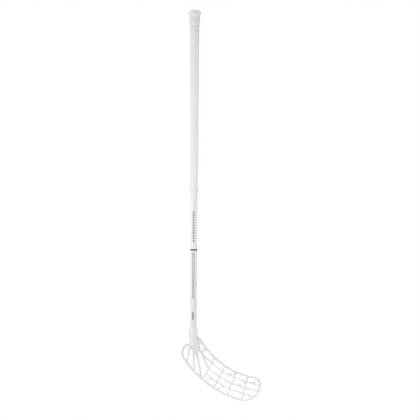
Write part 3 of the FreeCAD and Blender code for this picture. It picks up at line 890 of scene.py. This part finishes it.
# %% Place the head of one screw
HEAD_RADIUS = 3.4
HEAD_HEIGHT = 1.6
HEAD_SIDES = 48

screw_low, screw_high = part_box("blade_screws")
screw_face = screw_low.x / MM
screw_tip = screw_high.x / MM
low_screw = screw_low.z / MM + HEAD_RADIUS
high_screw = screw_high.z / MM - HEAD_RADIUS

bpy.ops.object.select_all(action="DESELECT")
bpy.ops.mesh.primitive_cylinder_add(
    vertices=HEAD_SIDES, radius=HEAD_RADIUS * MM, depth=HEAD_HEIGHT * MM,
    location=((screw_face + HEAD_HEIGHT / 2) * MM, 0, low_screw * MM), rotation=(0, math.radians(90), 0),
)
screw = bpy.context.object
screw.name = "screw_low"
bpy.ops.object.transform_apply(location=True, rotation=True)
print("screws at", round(low_screw, 2), "and", round(high_screw, 2), "mm")

# %% [markdown]
# The shank is drawn out of the head's inner face, which is picked by its normal and inset first. A
# thread could be wound with the Screw modifier, but on a shank that sits in plastic, steps that swell
# and shrink are enough.

# %% Draw out the threaded shank
SHANK_RADIUS = 1.7
CORE_RADIUS = 1.3
THREAD_COUNT = 4
FACING = 0.9
SCREW_ROUNDING = 0.15


def pick_faces(piece, wanted):
    """Go to edit mode with those faces selected whose normal is wanted."""
    start_picking("FACE")
    for face in piece.data.polygons:
        face.select = wanted(face.normal)
    bpy.ops.object.mode_set(mode="EDIT")


pick_faces(screw, lambda normal: normal.x > FACING)
bpy.ops.mesh.inset(thickness=(HEAD_RADIUS - CORE_RADIUS) * MM)
thread_pitch = (screw_tip - screw_face - HEAD_HEIGHT) / THREAD_COUNT
half_thread = (thread_pitch / 2 * MM, 0, 0)
swell = SHANK_RADIUS / CORE_RADIUS
for growth in [swell, 1 / swell] * THREAD_COUNT:
    bpy.ops.mesh.extrude_region_move(TRANSFORM_OT_translate={"value": half_thread})
    bpy.ops.transform.resize(value=(1, growth, growth), center_override=(0, 0, low_screw * MM))
bpy.ops.object.mode_set(mode="OBJECT")
round_edges(screw, SCREW_ROUNDING, segments=2, least_turn=math.radians(60))
print("screw", round(screw_tip - screw_face, 2), "mm long, thread pitch", round(thread_pitch, 2), "mm")

# %% [markdown]
# The cross for the driver is cut out of the head's outer face. Two thin boxes stand across each other
# there, and a Boolean takes each away. The screw is then finished, and the second one is a copy of it
# with its own mesh.

# %% Cut the cross and copy the screw
RECESS_LENGTH = 3.6
RECESS_WIDTH = 0.8
RECESS_DEPTH = 0.9

bpy.ops.object.select_all(action="DESELECT")
for length, width in [(RECESS_LENGTH, RECESS_WIDTH), (RECESS_WIDTH, RECESS_LENGTH)]:
    bpy.ops.mesh.primitive_cube_add(
        size=1, location=(screw_face * MM, 0, low_screw * MM),
        scale=(2 * RECESS_DEPTH * MM, length * MM, width * MM),
    )
    cutter = bpy.context.object
    bpy.ops.object.transform_apply(location=True, scale=True)
    apply_modifier(screw, "BOOLEAN", object=cutter, operation="DIFFERENCE", solver="EXACT")
    bpy.data.objects.remove(cutter)

bpy.ops.object.select_all(action="DESELECT")
screw.select_set(True)
bpy.ops.object.duplicate()
second_screw = bpy.context.object
second_screw.name = "screw_high"
bpy.ops.transform.translate(value=(0, 0, (high_screw - low_screw) * MM))
bpy.ops.object.transform_apply(location=True)
print("second screw:", round(high_screw - low_screw, 2), "mm above the first")

# %% [markdown]
# ## Zinc
#
# The screws are steel with a thin zinc coat, which is pale, bluish and slightly cloudy. A metal's colour
# is the colour of its reflections, so the clouds go into the colour and into the roughness alike.

# %% Plate the screws
DULL_ZINC = (0.52, 0.53, 0.55)
BRIGHT_ZINC = (0.62, 0.63, 0.64)
ZINC_ROUGHNESS = (0.28, 0.48)
SPANGLE_SIZE = 0.8 * MM
SPANGLE_DEPTH = 0.01 * MM

zinc = Finish("zinc_plated_steel")
spangle = zinc.noise(SPANGLE_SIZE, detail=3.0)
zinc.surface(
    base_color=zinc.mix(spangle, DULL_ZINC, BRIGHT_ZINC),
    metallic=1.0,
    roughness=between(spangle, ZINC_ROUGHNESS),
    normal=zinc.bump(spangle, SPANGLE_DEPTH),
)
hand_over(screw, zinc, "blade_screws")
hand_over(second_screw, zinc, "blade_screws")

# %% [markdown]
# ## Glue
#
# The film between shaft and socket is hot-melt glue: honey-coloured, waxy, with tiny bubbles. It lies
# inside the socket, where hardly anything of it shows, so its CAD node stays and only gets a finish.

# %% Give the glue its finish
DARK_HONEY = (0.62, 0.47, 0.24)
PALE_HONEY = (0.74, 0.62, 0.38)
GLUE_ROUGHNESS = (0.3, 0.5)
BUBBLE_SIZE = 1.2 * MM
BUBBLE_DEPTH = 0.03 * MM

glue = Finish("hot_melt_glue")
bubbles = glue.noise(BUBBLE_SIZE)
glue.surface(
    base_color=glue.mix(bubbles, DARK_HONEY, PALE_HONEY),
    roughness=between(bubbles, GLUE_ROUGHNESS),
    normal=glue.bump(bubbles, BUBBLE_DEPTH),
)
coat(nodes["socket_glue"], glue)
print("socket_glue keeps its CAD mesh")

# %% [markdown]
# ## A white studio
#
# The photograph has a plain white ground and soft light, a little stronger from the left. White things
# need some shade, or they melt into that ground. So the world, which gives the even part, is pure white
# only where the camera sees it, and lights the stick with less.

# %% Light the world
WORLD_LIGHT = 0.22

world = bpy.data.worlds.new("studio")
bpy.context.scene.world = world
world.use_nodes = True
studio = Network(world.node_tree)
background = world.node_tree.nodes["Background"]
studio.feed(background.inputs["Color"], studio.mix(studio.seen_plainly(), grey(WORLD_LIGHT), grey(1.0)))
print("world light:", WORLD_LIGHT)

# %% [markdown]
# ## Soft lamps
#
# Large area lamps give the rest of the light. In the photograph the stick is brightest at the lower end
# of its grip and falls off to both ends, so three lamps stand around its front at that height and not
# far away. One more stands behind it and one hangs over it. The picture's own view hardly shows what
# these two do, but they keep the back and the top of the cap white when the stick is turned.

# %% Place the lamps
LAMP_HEIGHT = -0.22
LAMP_SIZE = 1.0

# Name, bearing and elevation in degrees, distance in metres, and watts
LAMPS = [
    ("left_lamp", -70, 0, 1.1, 7.8),
    ("front_lamp", 0, 0, 1.3, 5.8),
    ("right_lamp", 70, 0, 1.1, 4.9),
    ("back_lamp", 180, 0, 1.6, 15.0),
    ("top_lamp", 0, 90, 2.4, 20.0),
]

for name, bearing, elevation, distance, watts in LAMPS:
    turn = math.radians(bearing)
    rise = math.radians(elevation)
    aside = distance * math.cos(rise)
    height = LAMP_HEIGHT + distance * math.sin(rise)
    bpy.ops.object.light_add(
        type="AREA", location=(aside * math.sin(turn), -aside * math.cos(turn), height),
        rotation=(math.radians(90) - rise, 0, turn),
    )
    lamp = bpy.context.object
    lamp.name = name
    lamp.data.size = LAMP_SIZE
    lamp.data.energy = watts
    print(f"{name}: {bearing} degrees round, {elevation} degrees up, {distance} m away, {watts} W")

# %% [markdown]
# ## The floor
#
# The stick stands on a white sheet, lit by the world and by the lamp above, which leaves a soft shadow
# under the blade. A sheet that is only lit looks grey next to the white background, so it also glows
# where the camera sees it. The lamp above lights it less further out, and the glow makes up for that, so
# that light and glow add up to white and no more: a brighter sheet would eat into the thin ribs before
# it. For the soft light that it throws back at the stick the sheet glows by a quarter, about as much as
# the lamps around the stick would make of it.

# %% Lay the floor
FLOOR_SIZE = 30.0

bpy.ops.object.select_all(action="DESELECT")
bpy.ops.mesh.primitive_plane_add(size=FLOOR_SIZE, location=(0, 0, cad_low[2]))
floor = bpy.context.object
floor.name = "floor"
bpy.ops.object.transform_apply(location=True)
print("floor at", round(cad_low[2], 4), "m")

# %% [markdown]
# How much light the lamp above leaves on the sheet follows from its power and its height. Further out it
# falls off with the square of the distance, and again with the two angles at which light leaves the lamp
# and meets the sheet. Together that is one falloff, squared.

# %% Give the floor its paper
SHEET_WHITE = 0.80
SHEET_FIBRES = 0.01
SHEET_ROUGHNESS = 0.9
SHEET_BOUNCE = 0.25
FIBRE_SIZE = 3 * MM
FULL_WHITE = 1.005

top_lamp = bpy.data.objects["top_lamp"]
lamp_drop = top_lamp.location.z - cad_low[2]
lamp_light = top_lamp.data.energy / (math.pi * lamp_drop) ** 2

paper = Finish("floor_white")
fibres = paper.noise(FIBRE_SIZE, detail=3.0)
across = paper.axis("X") / lamp_drop
away = paper.axis("Y") / lamp_drop
falloff = 1 / (1 + across * across + away * away)
glow = FULL_WHITE - SHEET_WHITE * (WORLD_LIGHT + lamp_light * falloff * falloff)
seen_glow = paper.shade(glow, (0.0, 1.0))
paper.surface(
    base_color=paper.shade(fibres, (SHEET_WHITE - SHEET_FIBRES, SHEET_WHITE + SHEET_FIBRES)),
    roughness=SHEET_ROUGHNESS,
    emission_color=paper.mix(paper.seen_plainly(), grey(SHEET_BOUNCE), seen_glow),
    emission_strength=1.0,
)
paper.shader.inputs["Specular IOR Level"].default_value = 0.0
coat(floor, paper)
print("light of the lamp above on the sheet:", round(lamp_light, 3))

# %% [markdown]
# The lamps around the stick would light the sheet in bright patches. In a studio, grids keep a lamp's
# light off the ground. Light linking does the same here: those lamps get a collection of receivers that
# leaves the floor out.

# %% Keep the other lamps off the floor
kept_off = bpy.data.collections.new("kept_off_the_floor")
kept_off.objects.link(floor)
kept_off.collection_objects[0].light_linking.link_state = "EXCLUDE"
for name, bearing, elevation, distance, watts in LAMPS:
    if elevation == 0:
        bpy.data.objects[name].light_linking.receiver_collection = kept_off
        print(name, "is kept off the floor")
